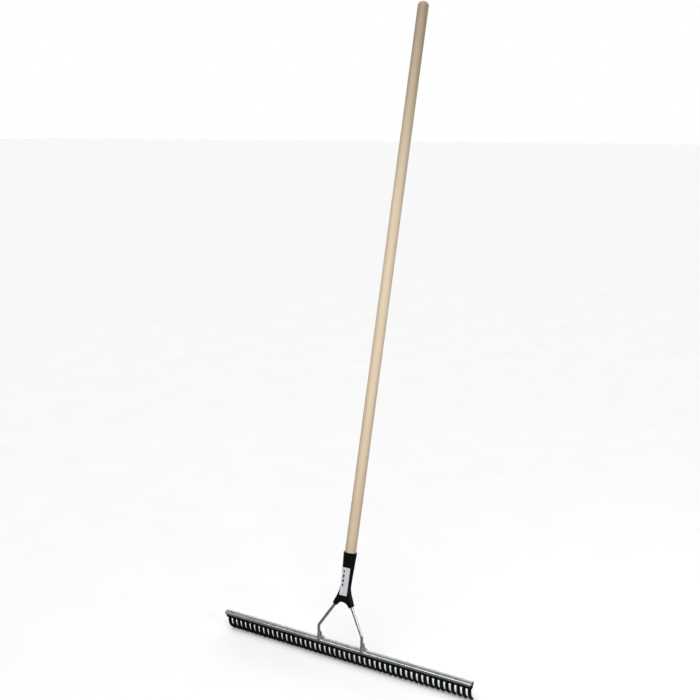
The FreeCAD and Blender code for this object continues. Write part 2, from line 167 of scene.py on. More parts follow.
# The fork's frame: its origin is where the handle's axis crosses the plane of the rods' feet,
# at the height of their bends, Z runs up the handle and Y to its back.
FORK_ORIGIN = GRIP_MIDDLE - AXIS * ((GRIP_MIDDLE.y - ROD_FOOT.y) / AXIS.y)
FORK = Matrix.Translation(FORK_ORIGIN) @ Matrix.Rotation(-LEAN, 4, "X")
HANDLE_SHOULDER_S = 2 * (GRIP_MIDDLE - FORK_ORIGIN).length - SOCKET_TOP_S
HANDLE_TOP_S = HANDLE_SHOULDER_S + HANDLE_DOME


# ------------------------------------------------------------- mesh helpers
def arc(centre, radius, start, end, steps):
    """Points (u, v) on an arc, with angles in degrees."""
    turns = [math.radians(start + (end - start) * step / steps) for step in range(steps + 1)]
    return [(centre[0] + radius * math.cos(turn), centre[1] + radius * math.sin(turn))
            for turn in turns]


def circle(radius, steps):
    """Closed ring of points (u, v)."""
    return arc((0, 0), radius, 0, 360, steps)[:-1]


def rounded_rectangle(half_u, half_v, radius, steps):
    """Closed ring of points (u, v) with round corners, from the corner at +u, +v."""
    ring = []
    for side_u, side_v, start in ((1, 1, 0), (-1, 1, 90), (-1, -1, 180), (1, -1, 270)):
        centre = (side_u * (half_u - radius), side_v * (half_v - radius))
        ring += arc(centre, radius, start, start + 90, steps)
    return ring


def bridge(bm, lower, upper):
    """Faces between two closed rings; a ring of one vertex is a pole."""
    count = max(len(lower), len(upper))
    for step in range(count):
        after = (step + 1) % count
        corners = [lower[step % len(lower)], lower[after % len(lower)],
                   upper[after % len(upper)], upper[step % len(upper)]]
        corners = list(dict.fromkeys(corners))
        if len(corners) > 2:
            bm.faces.new(corners)


def add_loft(bm, rings, capped=True):
    """Skin over a list of closed rings of points; the ends are closed by flat faces."""
    rows = [[bm.verts.new(point) for point in ring] for ring in rings]
    for lower, upper in zip(rows, rows[1:]):
        bridge(bm, lower, upper)
    for row in (rows[0], rows[-1]):
        if capped and len(row) > 2:
            bm.faces.new(row)
    return rows


def turned_rings(profile, segments):
    """Rings about local Z from (radius, height) points; radius 0 gives a pole."""
    rings = []
    for radius, height in profile:
        outline = [(0, 0)] if radius == 0 else circle(radius, segments)
        rings.append([Vector((u, v, height)) for u, v in outline])
    return rings


def mesh_of(name, bm, sharp=35):
    """Finished mesh, smooth but for edges sharper than the given angle."""
    bmesh.ops.recalc_face_normals(bm, faces=bm.faces)
    mesh = bpy.data.meshes.new(name)
    bm.to_mesh(mesh)
    bm.free()
    smooth(mesh, sharp)
    return mesh


def smooth(mesh, sharp):
    """Smooth shading but for edges sharper than the given angle."""
    for polygon in mesh.polygons:
        polygon.use_smooth = True
    mesh.set_sharp_from_angle(angle=math.radians(sharp))


def new_object(name, data, matrix=Matrix()):
    item = bpy.data.objects.new(name, data)
    bpy.context.scene.collection.objects.link(item)
    item.matrix_world = matrix
    bpy.context.view_layer.update()
    return item


def add_piece(name, mesh, material, nodes=(), matrix=Matrix()):
    """A visible piece on the body, which stands for the CAD nodes named."""
    piece = new_object(name, mesh, matrix)
    mesh.materials.clear()
    mesh.materials.append(material)
    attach(piece, BODY)
    if nodes:
        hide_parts(*nodes)
    return piece


def bake_modifiers(item, sharp=35):
    """Replaces an object's mesh by its mesh after modifiers."""
    depsgraph = bpy.context.evaluated_depsgraph_get()
    mesh = bpy.data.meshes.new_from_object(item.evaluated_get(depsgraph))
    item.modifiers.clear()
    item.data = mesh
    smooth(mesh, sharp)


def cut(item, cutter_mesh, matrix=Matrix()):
    """Cuts a mesh out of an object."""
    cutter = new_object("cutter", cutter_mesh, matrix)
    modifier = item.modifiers.new("cut", "BOOLEAN")
    modifier.operation = "DIFFERENCE"
    modifier.solver = "EXACT"
    modifier.object = cutter
    bake_modifiers(item)
    bpy.data.objects.remove(cutter)


def bevel(item, width, segments, angle):
    """Rounds the edges that are sharper than the given angle."""
    modifier = item.modifiers.new("bevel", "BEVEL")
    modifier.width = width
    modifier.segments = segments
    modifier.limit_method = "ANGLE"
    modifier.angle_limit = math.radians(angle)
    bake_modifiers(item)


def mesh_alone(item):
    """An object's mesh, without the object."""
    mesh = item.data
    bpy.data.objects.remove(item)
    return mesh


# ------------------------------------------------------------- material helpers
def set_stops(ramp, stops):
    """Gives a colour ramp its stops, as (position, colour) or (position, grey)."""
    elements = ramp.color_ramp.elements
    while len(elements) < len(stops):
        elements.new(1.0)
    for element, (position, colour) in zip(elements, stops):
        element.position = position
        grey = isinstance(colour, (int, float))
        element.color = (colour, colour, colour, 1) if grey else (*colour, 1)


class Shader:
    """A Principled material with short calls for its procedural nodes."""

    def __init__(self, name):
        self.material = bpy.data.materials.new(name)
        self.material.use_nodes = True
        self.tree = self.material.node_tree
        self.surface = self.tree.nodes["Principled BSDF"]

    def node(self, kind, inputs=None, **settings):
        """A new node; inputs are constants or sockets to link from."""
        node = self.tree.nodes.new(kind)
        for key, value in settings.items():
            setattr(node, key, value)
        for key, value in (inputs or {}).items():
            if isinstance(value, bpy.types.NodeSocket):
                self.tree.links.new(value, node.inputs[key])
            else:
                node.inputs[key].default_value = value
        return node

    def place(self, scale=(1, 1, 1)):
        """Object coordinates, stretched along the axes."""
        coords = self.node("ShaderNodeTexCoord").outputs["Object"]
        return self.node("ShaderNodeMapping", {"Vector": coords, "Scale": scale}).outputs[0]

    def noise(self, vector, scale, detail=3.0, roughness=0.5, distortion=0.0):
        inputs = {"Vector": vector, "Scale": scale, "Detail": detail, "Roughness": roughness,
                  "Distortion": distortion}
        return self.node("ShaderNodeTexNoise", inputs).outputs["Fac"]

    def ramp(self, factor, *stops):
        """Colours by factor; stops are (position, colour) or (position, grey)."""
        node = self.node("ShaderNodeValToRGB", {"Fac": factor})
        set_stops(node, stops)
        return node.outputs["Color"]

    def mix(self, factor, first, second, blend="MIX"):
        node = self.node("ShaderNodeMix", data_type="RGBA", blend_type=blend)
        sockets = [socket for socket in node.inputs if socket.enabled]
        for socket, value in zip(sockets, (factor, first, second)):
            if isinstance(value, bpy.types.NodeSocket):
                self.tree.links.new(value, socket)
            else:
                socket.default_value = value if isinstance(value, (int, float)) else (*value, 1)
        return next(socket for socket in node.outputs if socket.enabled)

    def highlight_edge_mask(self, start, end):
        """Mask for the painted edge highlight: bright on convex edges, dark elsewhere."""
        geometry = self.node("ShaderNodeNewGeometry")
        return self.ramp(geometry.outputs["Pointiness"], (start, 0.0), (end, 1.0))

    def finish(self, colour, roughness, bump=None, strength=0.2, depth=0.1 * MM, **constants):
        """Links the surface; constants are its inputs by name, with underscores for spaces."""
        self.tree.links.new(colour, self.surface.inputs["Base Color"])
        self.tree.links.new(roughness, self.surface.inputs["Roughness"])
        for key, value in constants.items():
            self.surface.inputs[key.replace("_", " ")].default_value = value
        if bump is not None:
            node = self.node("ShaderNodeBump", {"Height": bump, "Strength": strength,
                                                "Distance": depth})
            self.tree.links.new(node.outputs["Normal"], self.surface.inputs["Normal"])
        return self.material


def wood_material():
    """Pale sanded softwood: year bands, long fibres, short pores, and darker towards its ends."""
    shader = Shader("pale_softwood")
    bands = shader.noise(shader.place((1, 1, 0.02)), 210, 2, 0.5, 0.4)
    fibres = shader.noise(shader.place((1, 1, 0.012)), 1100, 4, 0.6)
    pores = shader.noise(shader.place((1, 1, 0.06)), 2300, 2)
    drift = shader.noise(shader.place((1, 1, 0.35)), 12, 2)
    grain = shader.ramp(bands, (0.30, (0.66, 0.50, 0.33)), (0.45, (0.78, 0.63, 0.45)),
                        (0.58, (0.82, 0.69, 0.50)), (0.72, (0.73, 0.56, 0.39)))
    threads = shader.ramp(fibres, (0.34, (0.66, 0.50, 0.34)), (0.66, (0.86, 0.74, 0.57)))
    tints = shader.ramp(drift, (0.35, (0.78, 0.60, 0.44)), (0.65, (0.78, 0.67, 0.46)))
    colour = shader.mix(0.40, shader.mix(0.35, grain, threads), tints)
    dark = shader.ramp(pores, (0.29, 0.55), (0.37, 1.0))
    colour = shader.mix(0.6, colour, dark, "MULTIPLY")
    coords = shader.node("ShaderNodeTexCoord").outputs["Object"]
    along = shader.node("ShaderNodeSeparateXYZ", {"Vector": coords}).outputs["Z"]
    share = shader.node("ShaderNodeMapRange", {"Value": along, "From Min": SOCKET_TOP_S,
                                               "From Max": HANDLE_TOP_S}).outputs["Result"]
    # darker towards both ends of the handle, most at its top
    end_darkening = shader.ramp(share, (0.0, (0.80, 0.79, 0.76)), (0.3, (0.98, 0.97, 0.95)),
                         (0.62, (1.0, 1.0, 1.0)), (1.0, (0.56, 0.53, 0.51)))
    colour = shader.mix(1.0, colour, end_darkening, "MULTIPLY")
    roughness = shader.ramp(fibres, (0.3, 0.50), (0.7, 0.68))
    return shader.finish(colour, roughness, fibres, 0.35, 0.15 * MM, Specular_IOR_Level=0.3)


def plastic_material(name, dull, edge_highlight_grey):
    """Black moulded plastic: fine moulded grain, duller clouds and paler convex edges as a painted
    highlight.
    """
    shader = Shader(name)
    cloud = shader.noise(shader.place(), 70, 4)
    grain = shader.noise(shader.place(), 2600, 2)
    base = shader.ramp(cloud, (0.3, (0.0026, 0.0026, 0.0028)), (0.7, (0.0046, 0.0046, 0.0048)))
    # convex edges are painted paler: a painted highlight, meant for the crease down the socket's arm
    colour = shader.mix(shader.highlight_edge_mask(0.53, 0.62), base, (edge_highlight_grey, edge_highlight_grey, edge_highlight_grey))
    roughness = shader.ramp(cloud, (0.3, dull - 0.06), (0.7, dull + 0.06))
    return shader.finish(colour, roughness, grain, 0.22, 0.12 * MM, Specular_IOR_Level=0.10)


def galvanised_material():
    """Galvanised sheet: faint spangle, rolling streaks along the sheet and dull stains."""
    shader = Shader("galvanised_sheet")
    cells = shader.node("ShaderNodeTexVoronoi", {"Vector": shader.place((0.6, 1, 1)),
                                                 "Scale": 140.0})
    spangle = shader.node("ShaderNodeRGBToBW", {"Color": cells.outputs["Color"]}).outputs[0]
    streaks = shader.noise(shader.place((0.015, 1, 1)), 800, 4)
    stains = shader.noise(shader.place((0.3, 1, 1)), 45, 4)
    base = shader.ramp(streaks, (0.3, (0.47, 0.50, 0.51)), (0.7, (0.60, 0.63, 0.64)))
    colour = shader.mix(0.14, base, shader.ramp(spangle, (0.2, 0.1), (0.8, 0.9)), "OVERLAY")
    marked = shader.ramp(stains, (0.55, 0.0), (0.75, 0.4))
    colour = shader.mix(marked, colour, (0.40, 0.42, 0.42))
    roughness = shader.mix(0.35, shader.ramp(streaks, (0.3, 0.22), (0.7, 0.34)),
                           shader.ramp(spangle, (0.2, 0.20), (0.8, 0.42)))
    return shader.finish(colour, roughness, streaks, 0.10, 0.08 * MM, Metallic=1.0)


def zinc_material(name, tone, stretch):
    """Bright zinc plate: drawing lines along the piece, a few dull spots."""
    shader = Shader(name)
    lines = shader.noise(shader.place(stretch), 1500, 3)
    spots = shader.noise(shader.place(), 190, 4)
    base = shader.ramp(lines, (0.3, tuple(0.8 * part for part in tone)), (0.7, tone))
    dull = shader.ramp(spots, (0.54, 0.0), (0.72, 0.55))
    colour = shader.mix(dull, base, (0.42, 0.42, 0.42))
    roughness = shader.ramp(spots, (0.3, 0.18), (0.75, 0.42))
    return shader.finish(colour, roughness, lines, 0.15, 0.06 * MM, Metallic=1.0)


def weld_material():
    """Weld bead: duller, slightly heat-tinted, finely rippled."""
    shader = Shader("weld_bead")
    ripple = shader.noise(shader.place(), 900, 3)
    tint = shader.noise(shader.place(), 260, 2)
    colour = shader.ramp(tint, (0.35, (0.20, 0.19, 0.18)), (0.65, (0.40, 0.38, 0.35)))
    roughness = shader.ramp(ripple, (0.3, 0.32), (0.7, 0.55))
    return shader.finish(colour, roughness, ripple, 0.5, 0.2 * MM, Metallic=1.0)


def paper_material():
    """Coated label paper, faintly mottled."""
    shader = Shader("label_paper")
    mottle = shader.noise(shader.place(), 320, 4)
    fibre = shader.noise(shader.place(), 2500, 2)
    colour = shader.ramp(mottle, (0.3, (0.57, 0.57, 0.61)), (0.7, (0.65, 0.65, 0.68)))
    roughness = shader.ramp(mottle, (0.3, 0.38), (0.7, 0.52))
    return shader.finish(colour, roughness, fibre, 0.1, 0.05 * MM)


def ink_material(name, darkest, lightest):
    """Printed ink with slightly uneven cover."""
    shader = Shader(name)
    cover = shader.noise(shader.place(), 900, 3)
    colour = shader.ramp(cover, (0.35, darkest), (0.7, lightest))
    roughness = shader.ramp(cover, (0.3, 0.42), (0.7, 0.6))
    return shader.finish(colour, roughness)


WOOD = wood_material()
# the socket's edges get a stronger painted highlight than the comb's
SOCKET_PLASTIC = plastic_material("socket_plastic", 0.40, 0.09)
COMB_PLASTIC = plastic_material("comb_plastic", 0.46, 0.016)
GALVANISED = galvanised_material()
ROD_ZINC = zinc_material("rod_zinc", (0.70, 0.70, 0.70), (1, 1, 0.05))
SADDLE_ZINC = zinc_material("saddle_zinc", (0.76, 0.77, 0.78), (1, 1, 0.1))
SCREW_ZINC = zinc_material("screw_zinc", (0.60, 0.60, 0.60), (1, 1, 1))
RIVET_METAL = zinc_material("rivet_aluminium", (0.70, 0.71, 0.72), (1, 1, 1))
WELD = weld_material()
PAPER = paper_material()
DARK_INK = ink_material("dark_ink", (0.012, 0.012, 0.013), (0.05, 0.05, 0.055))
FAINT_INK = ink_material("faint_ink", (0.34, 0.34, 0.37), (0.46, 0.46, 0.49))


# ------------------------------------------------------------- handle
def make_handle():
    """Turned pole with a domed end and a spigot inside the socket."""
    foot = SOCKET_TOP_S - SPIGOT_LENGTH
    chamfer = 0.6 * MM
    profile = [(0, foot), (SPIGOT_END_RADIUS - chamfer, foot), (SPIGOT_END_RADIUS, foot + chamfer),
               (SPIGOT_RADIUS, SOCKET_TOP_S - SHOULDER_DEPTH), (HANDLE_RADIUS, SOCKET_TOP_S)]
    spans = 40
    span = (HANDLE_SHOULDER_S - SOCKET_TOP_S) / spans
    profile += [(HANDLE_RADIUS, SOCKET_TOP_S + span * step) for step in range(1, spans + 1)]
    dome_centre = (HANDLE_RADIUS - HANDLE_DOME, HANDLE_SHOULDER_S)
    profile += arc(dome_centre, HANDLE_DOME, 0, 90, 12)[1:]
    profile.append((0, HANDLE_TOP_S))
    bm = bmesh.new()
    add_loft(bm, turned_rings(profile, 72))
    add_piece("handle_pole", mesh_of("handle_pole", bm), WOOD, ["handle"], FORK)


# ------------------------------------------------------------- socket, label and screw
def make_socket():
    """The moulding's edges are rounded by remeshing its CAD shape."""
    socket = new_object("socket_moulding", frame["nodes"]["handle_socket"].data.copy())
    remesh = socket.modifiers.new("remesh", "REMESH")
    remesh.mode = "VOXEL"
    remesh.voxel_size = 0.5 * MM
    rounding = socket.modifiers.new("rounding", "SMOOTH")
    rounding.factor = 0.5
    rounding.iterations = 6
    bake_modifiers(socket, 60)
    add_piece("socket_moulding", mesh_alone(socket), SOCKET_PLASTIC,
              ["handle_socket"])


def add_card(bm, half_u, half_v, corner, middle, front, thick):
    """Thin rounded card facing the fork's front, with softened edges."""
    rings = []
    for inset, depth in ((0.0, 0.0), (0.0, 0.8), (0.06 * MM, 1.0)):
        outline = rounded_rectangle(half_u - inset, half_v - inset, corner - inset, 5)
        rings.append([Vector((middle[0] + u, -front - thick * depth, middle[1] + v))
                      for u, v in outline])
    add_loft(bm, rings)


def make_label():
    """Paper label with plain dark bars and faint lines in the place of print."""
    middle_s = (LABEL_BOTTOM_S + LABEL_TOP_S) / 2
    half_length = (LABEL_TOP_S - LABEL_BOTTOM_S) / 2
    bm = bmesh.new()
    add_card(bm, LABEL_HALF_WIDTH, half_length, LABEL_CORNER, (0, middle_s), FLAT_FRONT, LABEL_THICK)
    add_piece("label_sheet", mesh_of("label_sheet", bm), PAPER, ["socket_label"],
              FORK)
    front = FLAT_FRONT + LABEL_THICK
    bm = bmesh.new()
    for depth, length in LABEL_BARS:
        place = (LABEL_BAR_X, LABEL_TOP_S - depth * MM)
        add_card(bm, LABEL_BAR_HALF_WIDTH, length * MM / 2, 0.5 * MM, place, front, INK_THICK)
    add_piece("label_bars", mesh_of("label_bars", bm), DARK_INK, (), FORK)
    bm = bmesh.new()
    for row in range(LABEL_LINES):
        place = (LABEL_LINE_X, LABEL_TOP_S - LABEL_LINE_DEPTH - LABEL_LINE_PITCH * row)
        add_card(bm, LABEL_LINE_HALF_LENGTH, 0.25 * MM, 0.2 * MM, place, front, INK_THICK)
    upright = (-8 * MM, LABEL_TOP_S - 12 * MM)
    add_card(bm, 0.2 * MM, 7 * MM, 0.15 * MM, upright, front, INK_THICK)
    add_piece("label_lines", mesh_of("label_lines", bm), FAINT_INK, (), FORK)


def make_screw():
    """Countersunk screw with a cross recess, its head at the back of the neck."""
    head_depth = SCREW_HEAD_RADIUS - SCREW_RADIUS
    profile = [(0, 0), (SCREW_HEAD_RADIUS - 0.25 * MM, 0), (SCREW_HEAD_RADIUS, -0.2 * MM),
               (SCREW_HEAD_RADIUS - 0.1 * MM, -0.4 * MM), (SCREW_RADIUS, -head_depth)]
    threads = 12
    thread = 0.5 * MM
    start = -head_depth - 1 * MM
    run = SCREW_LENGTH - head_depth - 4 * MM
    for turn in range(threads):
        height = start - run * turn / threads
        profile += [(SCREW_RADIUS - thread, height), (SCREW_RADIUS, height - thread)]
    profile += [(SCREW_RADIUS - 0.6 * MM, start - run), (0, -SCREW_LENGTH)]
    bm = bmesh.new()
    add_loft(bm, turned_rings(profile, 40))
    screw = new_object("socket_screw", mesh_of("socket_screw", bm))
    for turn in (45, 135):
        slot = bmesh.new()
        outer = rounded_rectangle(2.3 * MM, 0.5 * MM, 0.2 * MM, 2)
        inner = rounded_rectangle(1.0 * MM, 0.35 * MM, 0.2 * MM, 2)
        add_loft(slot, [[Vector((u, v, 1 * MM)) for u, v in outer],
                        [Vector((u, v, -1.9 * MM)) for u, v in inner]])
        cut(screw, mesh_of("recess", slot), Matrix.Rotation(math.radians(turn), 4, "Z"))
    place = Matrix.Translation((0, neck_back(), SCREW_S)) @ Matrix.Rotation(-math.pi / 2, 4, "X")
    add_piece("socket_screw", mesh_alone(screw), SCREW_ZINC, ["handle_screw"],
              FORK @ place)


def neck_back():
    """How far the screw's head stands behind the handle's axis."""
    top = Vector((0, high("handle_screw").y, low("handle_screw").z))
    return (FORK.inverted() @ top).y


# ------------------------------------------------------------- rods and welds
def rounded_path(start, corner, end, radius, steps):
    """Points of two straight runs joined by a tangent arc."""
    to_start = (start - corner).normalized()
    to_end = (end - corner).normalized()
    half_turn = to_start.angle(to_end) / 2
    centre = corner + (to_start + to_end).normalized() * (radius / math.sin(half_turn))
    tangent = radius / math.tan(half_turn)
    first = corner + to_start * tangent - centre
    normal = to_end.cross(to_start).normalized()
    sweep = math.pi - 2 * half_turn
    bend = [centre + Matrix.Rotation(sweep * step / steps, 3, normal) @ first
            for step in range(steps + 1)]
    return [start] + bend + [end]


def tube_rings(path, radius, segments):
    """Rings along a path that lies in one plane."""
    flat = (path[0] - path[1]).cross(path[-1] - path[-2]).normalized()
    rings = []
    for index, point in enumerate(path):
        before = path[max(index - 1, 0)]
        after = path[min(index + 1, len(path) - 1)]
        across = (after - before).normalized().cross(flat)
        rings.append([point + across * u + flat * v for u, v in circle(radius, segments)])
    return rings


def hood_top_z(y):
    """Height of the spine's outside at a place across it."""
    slope = math.radians(HOOD_SLOPE)
    tangent_y = -HOOD_RADIUS * math.sin(slope)
    if y > tangent_y:
        return HOOD_CENTRE_Z + math.sqrt(HOOD_RADIUS ** 2 - y ** 2)
    return HOOD_CENTRE_Z + HOOD_RADIUS * math.cos(slope) - (tangent_y - y) * math.tan(slope)


def make_rod(side, name):
    """Upright from the hood, bent once, and on into the socket's arm."""
    reach = math.hypot(ROD_FOOT.x - ROD_SOCKET_X, ROD_SOCKET_S)
    inside_x = ROD_SOCKET_X - ROD_INSERT * (ROD_FOOT.x - ROD_SOCKET_X) / reach
    inside_s = ROD_SOCKET_S + ROD_INSERT * ROD_SOCKET_S / reach
    foot = Vector((side * ROD_FOOT.x, ROD_FOOT.y, hood_top_z(ROD_FOOT.y) - SHEET / 2))
    corner = Vector((foot.x, foot.y, FORK_ORIGIN.z))
    end = FORK @ Vector((side * inside_x, 0, inside_s))
    path = rounded_path(foot, corner, end, ROD_BEND_RADIUS, 14)
    upright = [foot.lerp(path[1], step / 4) for step in range(4)]
    bm = bmesh.new()
    add_loft(bm, tube_rings(upright + path[1:], ROD_RADIUS, 32))
    piece = "rod_" + name + "_bent"
    add_piece(piece, mesh_of(piece, bm), ROD_ZINC, ["rod_" + name])
    make_weld(foot, "weld_" + name)


def make_weld(foot, name):
    """Rippled bead round the rod's foot, lying on the hood."""
    steps = 84
    bm = bmesh.new()
    rows = []
    for step in range(steps):
        turn = 2 * math.pi * step / steps
        swell = 1 + 0.13 * math.cos(WELD_RIPPLES * turn) + 0.08 * math.cos(5 * turn + 1)
        out = Vector((math.cos(turn), math.sin(turn), 0))
        centre = foot + out * (ROD_RADIUS + 0.35 * MM)
        # The bead stays between the lip and the saddle.
        centre.y = min(max(centre.y, LIP_Y + 1.0 * MM), SADDLE_FRONT - 0.1 * MM)
        centre.z = hood_top_z(centre.y) + 0.15 * MM
        rows.append([bm.verts.new(centre + out * u + Vector((0, 0, v)))
                     for u, v in circle(WELD_RADIUS * swell, 12)])
    for step in range(steps):
        bridge(bm, rows[step], rows[(step + 1) % steps])
    add_piece(name, mesh_of(name, bm), WELD)


# ------------------------------------------------------------- spine
def hood_line(inset, lip_z):
    """Section of the hood as (y, z), from the lip's edge to the back edge."""
    radius = HOOD_RADIUS - inset
    slope = math.radians(HOOD_SLOPE)
    front = LIP_Y + inset
    tangent = (-radius * math.sin(slope), HOOD_CENTRE_Z + radius * math.cos(slope))
    crease_z = tangent[1] - (tangent[0] - front) * math.tan(slope)
    bend = CREASE_RADIUS - 0.9 * inset       # keeps a small radius on the inside too
    half = math.radians(90 + HOOD_SLOPE) / 2
    setback = bend / math.tan(half)
    centre = (front + bend, crease_z - setback)
    line = [(front, lip_z + (centre[1] - lip_z) * step / 3) for step in range(3)]
    line += arc(centre, bend, 180, 90 + HOOD_SLOPE, 8)
    start = line[-1]
    line += [(start[0] + (tangent[0] - start[0]) * step / 3,
              start[1] + (tangent[1] - start[1]) * step / 3) for step in (1, 2)]
    line += arc((0, HOOD_CENTRE_Z), radius, 90 + HOOD_SLOPE, 0, 40)
    line.append((radius, BACK_BOTTOM))
    return line


def spine_section(lip_z, shrink):
    """Closed section of the sheet with its cut edges softened."""
    outer = hood_line(shrink, lip_z)
    inner = hood_line(SHEET - shrink, lip_z)
    soft = 0.3 * MM
    front = [(outer[0][0] + soft, lip_z), (inner[0][0] - soft, lip_z)]
    back = [(inner[-1][0] + soft, BACK_BOTTOM), (outer[-1][0] - soft, BACK_BOTTOM)]
    outer[0] = (outer[0][0], lip_z + soft)
    inner[0] = (inner[0][0], lip_z + soft)
    outer[-1] = (outer[-1][0], BACK_BOTTOM + soft)
    inner[-1] = (inner[-1][0], BACK_BOTTOM + soft)
    return [front[0]] + outer + [back[1], back[0]] + inner[::-1] + [front[1]]


def make_spine():
    """Bent sheet with rounded lip corners and softened edges."""
    corner_start = SPINE_HALF - SOFT_EDGE
    half = [(SPINE_HALF, SOFT_EDGE), (corner_start, 0)]
    corner_steps = 10
    for step in range(1, corner_steps + 1):
        turn = math.pi / 2 * step / corner_steps
        half.append((corner_start - LIP_CORNER * (1 - math.cos(turn)), 0))
    spans = 24
    reach = half[-1][0]
    middle = [(reach - 2 * reach * step / spans, 0) for step in range(1, spans)]
    bm = bmesh.new()
    rows = []
    for x, shrink in half + middle + [(-x, shrink) for x, shrink in half[::-1]]:
        into_corner = min(max(0.0, LIP_CORNER - corner_start + abs(x)), LIP_CORNER)
        rise = LIP_CORNER - math.sqrt(LIP_CORNER ** 2 - into_corner ** 2)
        section = spine_section(LIP_BOTTOM + rise, shrink)
        rows.append([bm.verts.new((x, y, z)) for y, z in section])
    for lower, upper in zip(rows, rows[1:]):
        bridge(bm, lower, upper)
    for row in (rows[0], rows[-1]):
        for step in range(len(row) // 2 - 1):
            bm.faces.new([row[step], row[step + 1], row[-2 - step], row[-1 - step]])
    spine = new_object("spine_sheet", mesh_of("spine_sheet", bm))
    hole = bmesh.new()
    hole_x = END_HOLE_INSET - SPINE_HALF
    add_loft(hole, [[Vector((hole_x + u, END_HOLE_Y + v, z)) for u, v in circle(END_HOLE_RADIUS, 48)]
                    for z in (BAR_TOP, BAR_TOP + HOOD_RADIUS)])
    cut(spine, mesh_of("hole", hole))
    add_piece("spine_sheet", mesh_alone(spine), GALVANISED, ["spine"])


# ------------------------------------------------------------- combs
def tine_ring(x, y, z, turn, half_width, half_thick, corner):
    """One section of a tine at the angle reached along its arc; thin ones get rounder."""
    ring = rounded_rectangle(half_width, half_thick, min(corner, half_thick * 0.98), 3)
    return [Vector((x + u, y + v * math.cos(turn), z + v * math.sin(turn))) for u, v in ring]


def tine_rings(x):
    """Sections of one tine from its filleted root to its round tip."""
    sweep = math.radians(TINE_SWEEP)
    arc_z = TINE_TIP_HALF_THICK + TINE_ARC * math.sin(sweep)
    rings = []
    for step in range(5):
        turn = math.pi / 2 * step / 4
        out = ROOT_FILLET * (1 - math.sin(turn))
        drop = ROOT_FILLET * (1 - math.cos(turn))
        rings.append(tine_ring(x, TINE_Y, BAR_BOTTOM - drop, 0, TINE_HALF_WIDTH + out,
                               TINE_HALF_THICK + out, TINE_EDGE + out))
    steps = 16
    for step in range(1, steps + 1):
        share = step / steps
        turn = sweep * share
        z = arc_z - TINE_ARC * math.sin(turn)
        wide = TINE_TIP_HALF_WIDTH + (TINE_HALF_WIDTH - TINE_TIP_HALF_WIDTH) * z / BAR_BOTTOM
        thick = TINE_HALF_THICK + (TINE_TIP_HALF_THICK - TINE_HALF_THICK) * share
        rings.append(tine_ring(x, TINE_Y + TINE_ARC * (1 - math.cos(turn)), z, turn, wide, thick,
                               TINE_EDGE))
    tip_y = TINE_Y + TINE_ARC * (1 - math.cos(sweep))
    tip_rounding = 0.6 * MM
    for degrees in (18, 36, 54, 70, 84):
        past = math.radians(degrees)
        ahead = TINE_TIP_HALF_THICK * math.sin(past)
        rings.append(tine_ring(x, tip_y + ahead * math.sin(sweep),
                               TINE_TIP_HALF_THICK - ahead * math.cos(sweep), sweep,
                               TINE_TIP_HALF_WIDTH - tip_rounding * (1 - math.cos(past)),
                               TINE_TIP_HALF_THICK * math.cos(past), TINE_EDGE))
    return rings


def bar_section(shrink):
    """Section of a comb's bar as (y, z), open along its flat bottom."""
    half_y = (BAR_BACK - BAR_FRONT) / 2 - shrink
    half_z = (BAR_TOP - BAR_BOTTOM) / 2 - shrink
    middle = ((BAR_BACK + BAR_FRONT) / 2, (BAR_TOP + BAR_BOTTOM) / 2)
    steps = 4
    corners = rounded_rectangle(half_y, half_z, BAR_EDGE - shrink, steps)
    bottom_right = 3 * (steps + 1)
    ring = corners[bottom_right:] + corners[:bottom_right]
    return [(middle[0] + y, middle[1] + z) for y, z in ring]


def add_lug(bm, middle_x):
    """Block behind the bar that fills the hood's round back for a rivet."""
    inside = HOOD_RADIUS - SHEET - LUG_CLEARANCE
    low_turn = math.degrees(math.asin((LUG_BOTTOM - HOOD_CENTRE_Z) / inside))
    high_turn = math.degrees(math.asin((LUG_TOP - HOOD_CENTRE_Z) / inside))
    section = arc((0, HOOD_CENTRE_Z), inside, low_turn, high_turn, 12)
    root = BAR_BACK - 1 * MM
    section += [(root, LUG_TOP), (root, LUG_BOTTOM)]
    add_loft(bm, [[Vector((middle_x + side * LUG_HALF, y, z)) for y, z in section]
                  for side in (-1, 1)])


def make_comb(side, count):
    """One moulding: a bar with its tines grown out of its bottom, and three lugs."""
    nodes = ["comb_bar_" + side, "comb_tines_" + side]
    start, end = low(nodes[0]).x, high(nodes[0]).x
    middle_x = (low(nodes[1]).x + high(nodes[1]).x) / 2
    places = [middle_x + TINE_PITCH * (number - (count - 1) / 2) for number in range(count)]
    edge = 0.6 * MM
    stations = [(start, edge), (start + edge, 0)]
    stations += [((before + after) / 2, 0) for before, after in zip(places, places[1:])]
    stations += [(end - edge, 0), (end, edge)]
    bm = bmesh.new()
    rows = [[bm.verts.new((x, y, z)) for y, z in bar_section(shrink)] for x, shrink in stations]
    for lower, upper in zip(rows, rows[1:]):
        for step in range(len(lower) - 1):
            bm.faces.new([lower[step], lower[step + 1], upper[step + 1], upper[step]])
    for row, after in ((rows[0], rows[1]), (rows[-1], rows[-2])):
        bm.faces.new(row)
        bm.faces.new([row[0], row[-1], after[-1], after[0]])
    for x, left, right in zip(places, rows[1:], rows[2:]):
        root = add_tine(bm, tine_rings(x))
        join_root(bm, root, order_corners([right[0], left[0], left[-1], right[-1]]))
    for fraction in LUG_FRACTIONS:
        add_lug(bm, start + fraction * (end - start))
    piece = "comb_" + side + "_moulding"
    add_piece(piece, mesh_of(piece, bm, 50), COMB_PLASTIC, nodes)


def add_tine(bm, rings):
    """Skin over a tine's rings, closed at the tip; gives back its open root."""
    rows = add_loft(bm, rings, capped=False)
    bm.faces.new(rows[-1])
    return rows[0]


